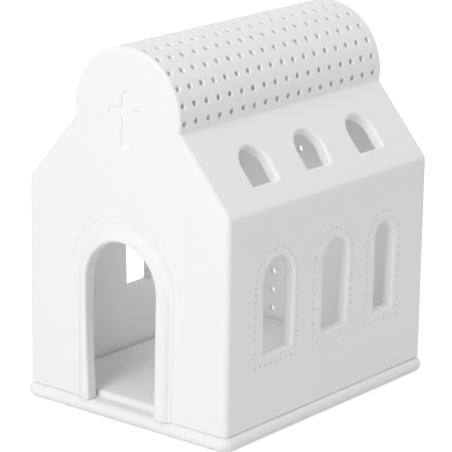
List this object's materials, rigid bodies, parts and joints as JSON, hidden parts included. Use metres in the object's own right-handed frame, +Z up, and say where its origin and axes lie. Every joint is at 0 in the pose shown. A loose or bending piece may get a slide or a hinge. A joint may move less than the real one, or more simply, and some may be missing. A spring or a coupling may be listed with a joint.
{
  "type": "tealight house",
  "caption": "White bisque porcelain house with arched windows and a pierced barrel vault, lifting off its base plate over a tealight.",
  "frame": {"origin": "on the table under the middle of the base plate", "axes": "+Z up, X across the gable front, -Y the front with the doorway"},
  "size_m": [0.11, 0.1407, 0.1594],
  "materials": {
    "porcelain": "matte unglazed",
    "cup_aluminium": "pressed, satin",
    "wax": "paraffin wax, soft sheen",
    "tab_steel": "tinned",
    "wick_cotton": "waxed cotton braid"
  },
  "bodies": {
    "plate": {"base_plate": "porcelain"},
    "house": {"house_shell": "porcelain"},
    "tealight": {"tealight_cup": "cup_aluminium", "tealight_wax": "wax", "wick_tab": "tab_steel", "wick": "wick_cotton"}
  },
  "joints": [
    {"name": "house_lift", "type": "slide", "parent": "plate", "child": "house", "axis": [0, 0, 1], "range_m": [0, 0.1]},
    {"name": "tealight_lift", "type": "slide", "parent": "plate", "child": "tealight", "axis": [0, 0, 1], "range_m": [0, 0.05]}
  ]
}
